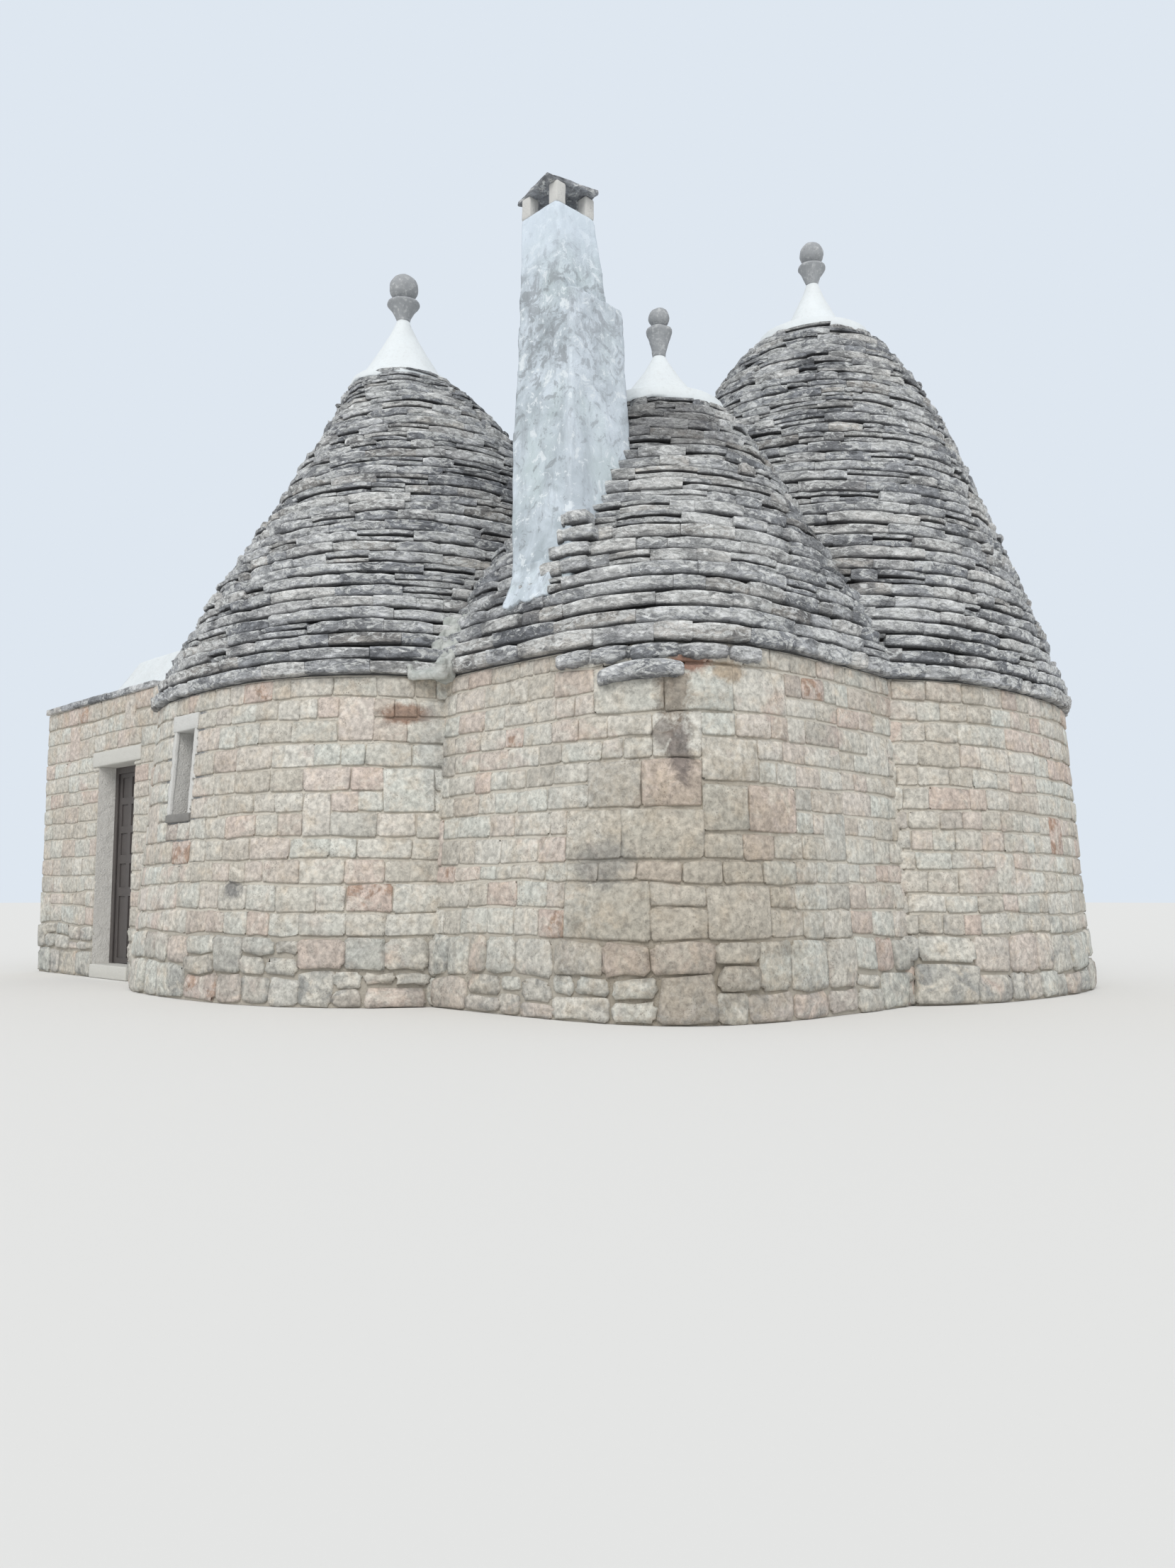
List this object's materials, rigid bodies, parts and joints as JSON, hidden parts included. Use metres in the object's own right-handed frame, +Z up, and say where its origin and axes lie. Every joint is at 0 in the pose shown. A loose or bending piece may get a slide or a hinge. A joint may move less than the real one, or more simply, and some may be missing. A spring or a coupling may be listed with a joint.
{
  "type": "trullo house",
  "caption": "Dry-stone trullo house: rounded walls under corbelled slab cones with white tips and ball pinnacles, a square whitewashed chimney and a low wing with a door.",
  "frame": {"origin": "centre of the footprint's bounding box, on the ground", "axes": "+X to the right along the front, +Y into the house, +Z up"},
  "size_m": [10.5042, 8.2184, 8.22],
  "materials": {
    "wall_stone": "rough dressed limestone, cream with pink and grey patches",
    "roof_slab": "weathered grey limestone slabs with pale and dark lichen",
    "lime_plaster": "matt lime wash with grey weather stains",
    "carved_stone": "carved limestone, weathered grey",
    "dressed_stone": "sawn pale limestone",
    "floor_stone": "worn limestone paving",
    "dark_timber": "dark stained oak",
    "black_iron": "forged iron, dull",
    "window_glass": "plain clear pane"
  },
  "bodies": {
    "house": {"stone_floor": "floor_stone", "main_front_wall": "wall_stone", "main_left_wall": "wall_stone", "main_back_wall": "wall_stone", "main_right_wall": "wall_stone", "hearth_front_wall": "wall_stone", "hearth_right_wall": "wall_stone", "hearth_back_wall": "wall_stone", "rear_front_wall": "wall_stone", "rear_left_wall": "wall_stone", "rear_right_wall": "wall_stone", "rear_back_wall": "wall_stone", "wing_front_wall_left": "wall_stone", "wing_front_wall_right": "wall_stone", "wing_wall_over_door": "wall_stone", "wing_end_wall": "wall_stone", "wing_back_wall": "wall_stone", "wing_slab": "lime_plaster", "wing_hip": "lime_plaster", "wing_parapet": "wall_stone", "wing_coping": "roof_slab", "door_lintel": "dressed_stone", "door_threshold": "dressed_stone", "door_frame": "dark_timber", "door_pins": "black_iron", "window_lintel": "dressed_stone", "window_sill": "dressed_stone", "window_frame": "dark_timber", "window_glass": "window_glass", "main_roof_lower": "roof_slab", "main_roof_upper": "roof_slab", "hearth_roof": "roof_slab", "rear_roof_lower": "roof_slab", "rear_roof_upper": "roof_slab", "corner_eave_slabs": "roof_slab", "valley_gutter": "lime_plaster", "main_white_tip": "lime_plaster", "hearth_white_tip": "lime_plaster", "rear_white_tip": "lime_plaster", "main_pinnacle": "carved_stone", "hearth_pinnacle": "carved_stone", "rear_pinnacle": "carved_stone", "chimney_stack": "lime_plaster", "chimney_upper": "lime_plaster", "chimney_posts": "lime_plaster", "chimney_cap": "roof_slab"},
    "door": {"door_leaf": "dark_timber", "door_straps": "black_iron", "door_latch": "black_iron"}
  },
  "joints": [
    {"name": "door_hinge", "type": "hinge", "parent": "house", "child": "door", "pos_m": [-3.612, -3.193, 0.156], "axis": [0, 0, 1], "range_deg": [0, 95]}
  ]
}
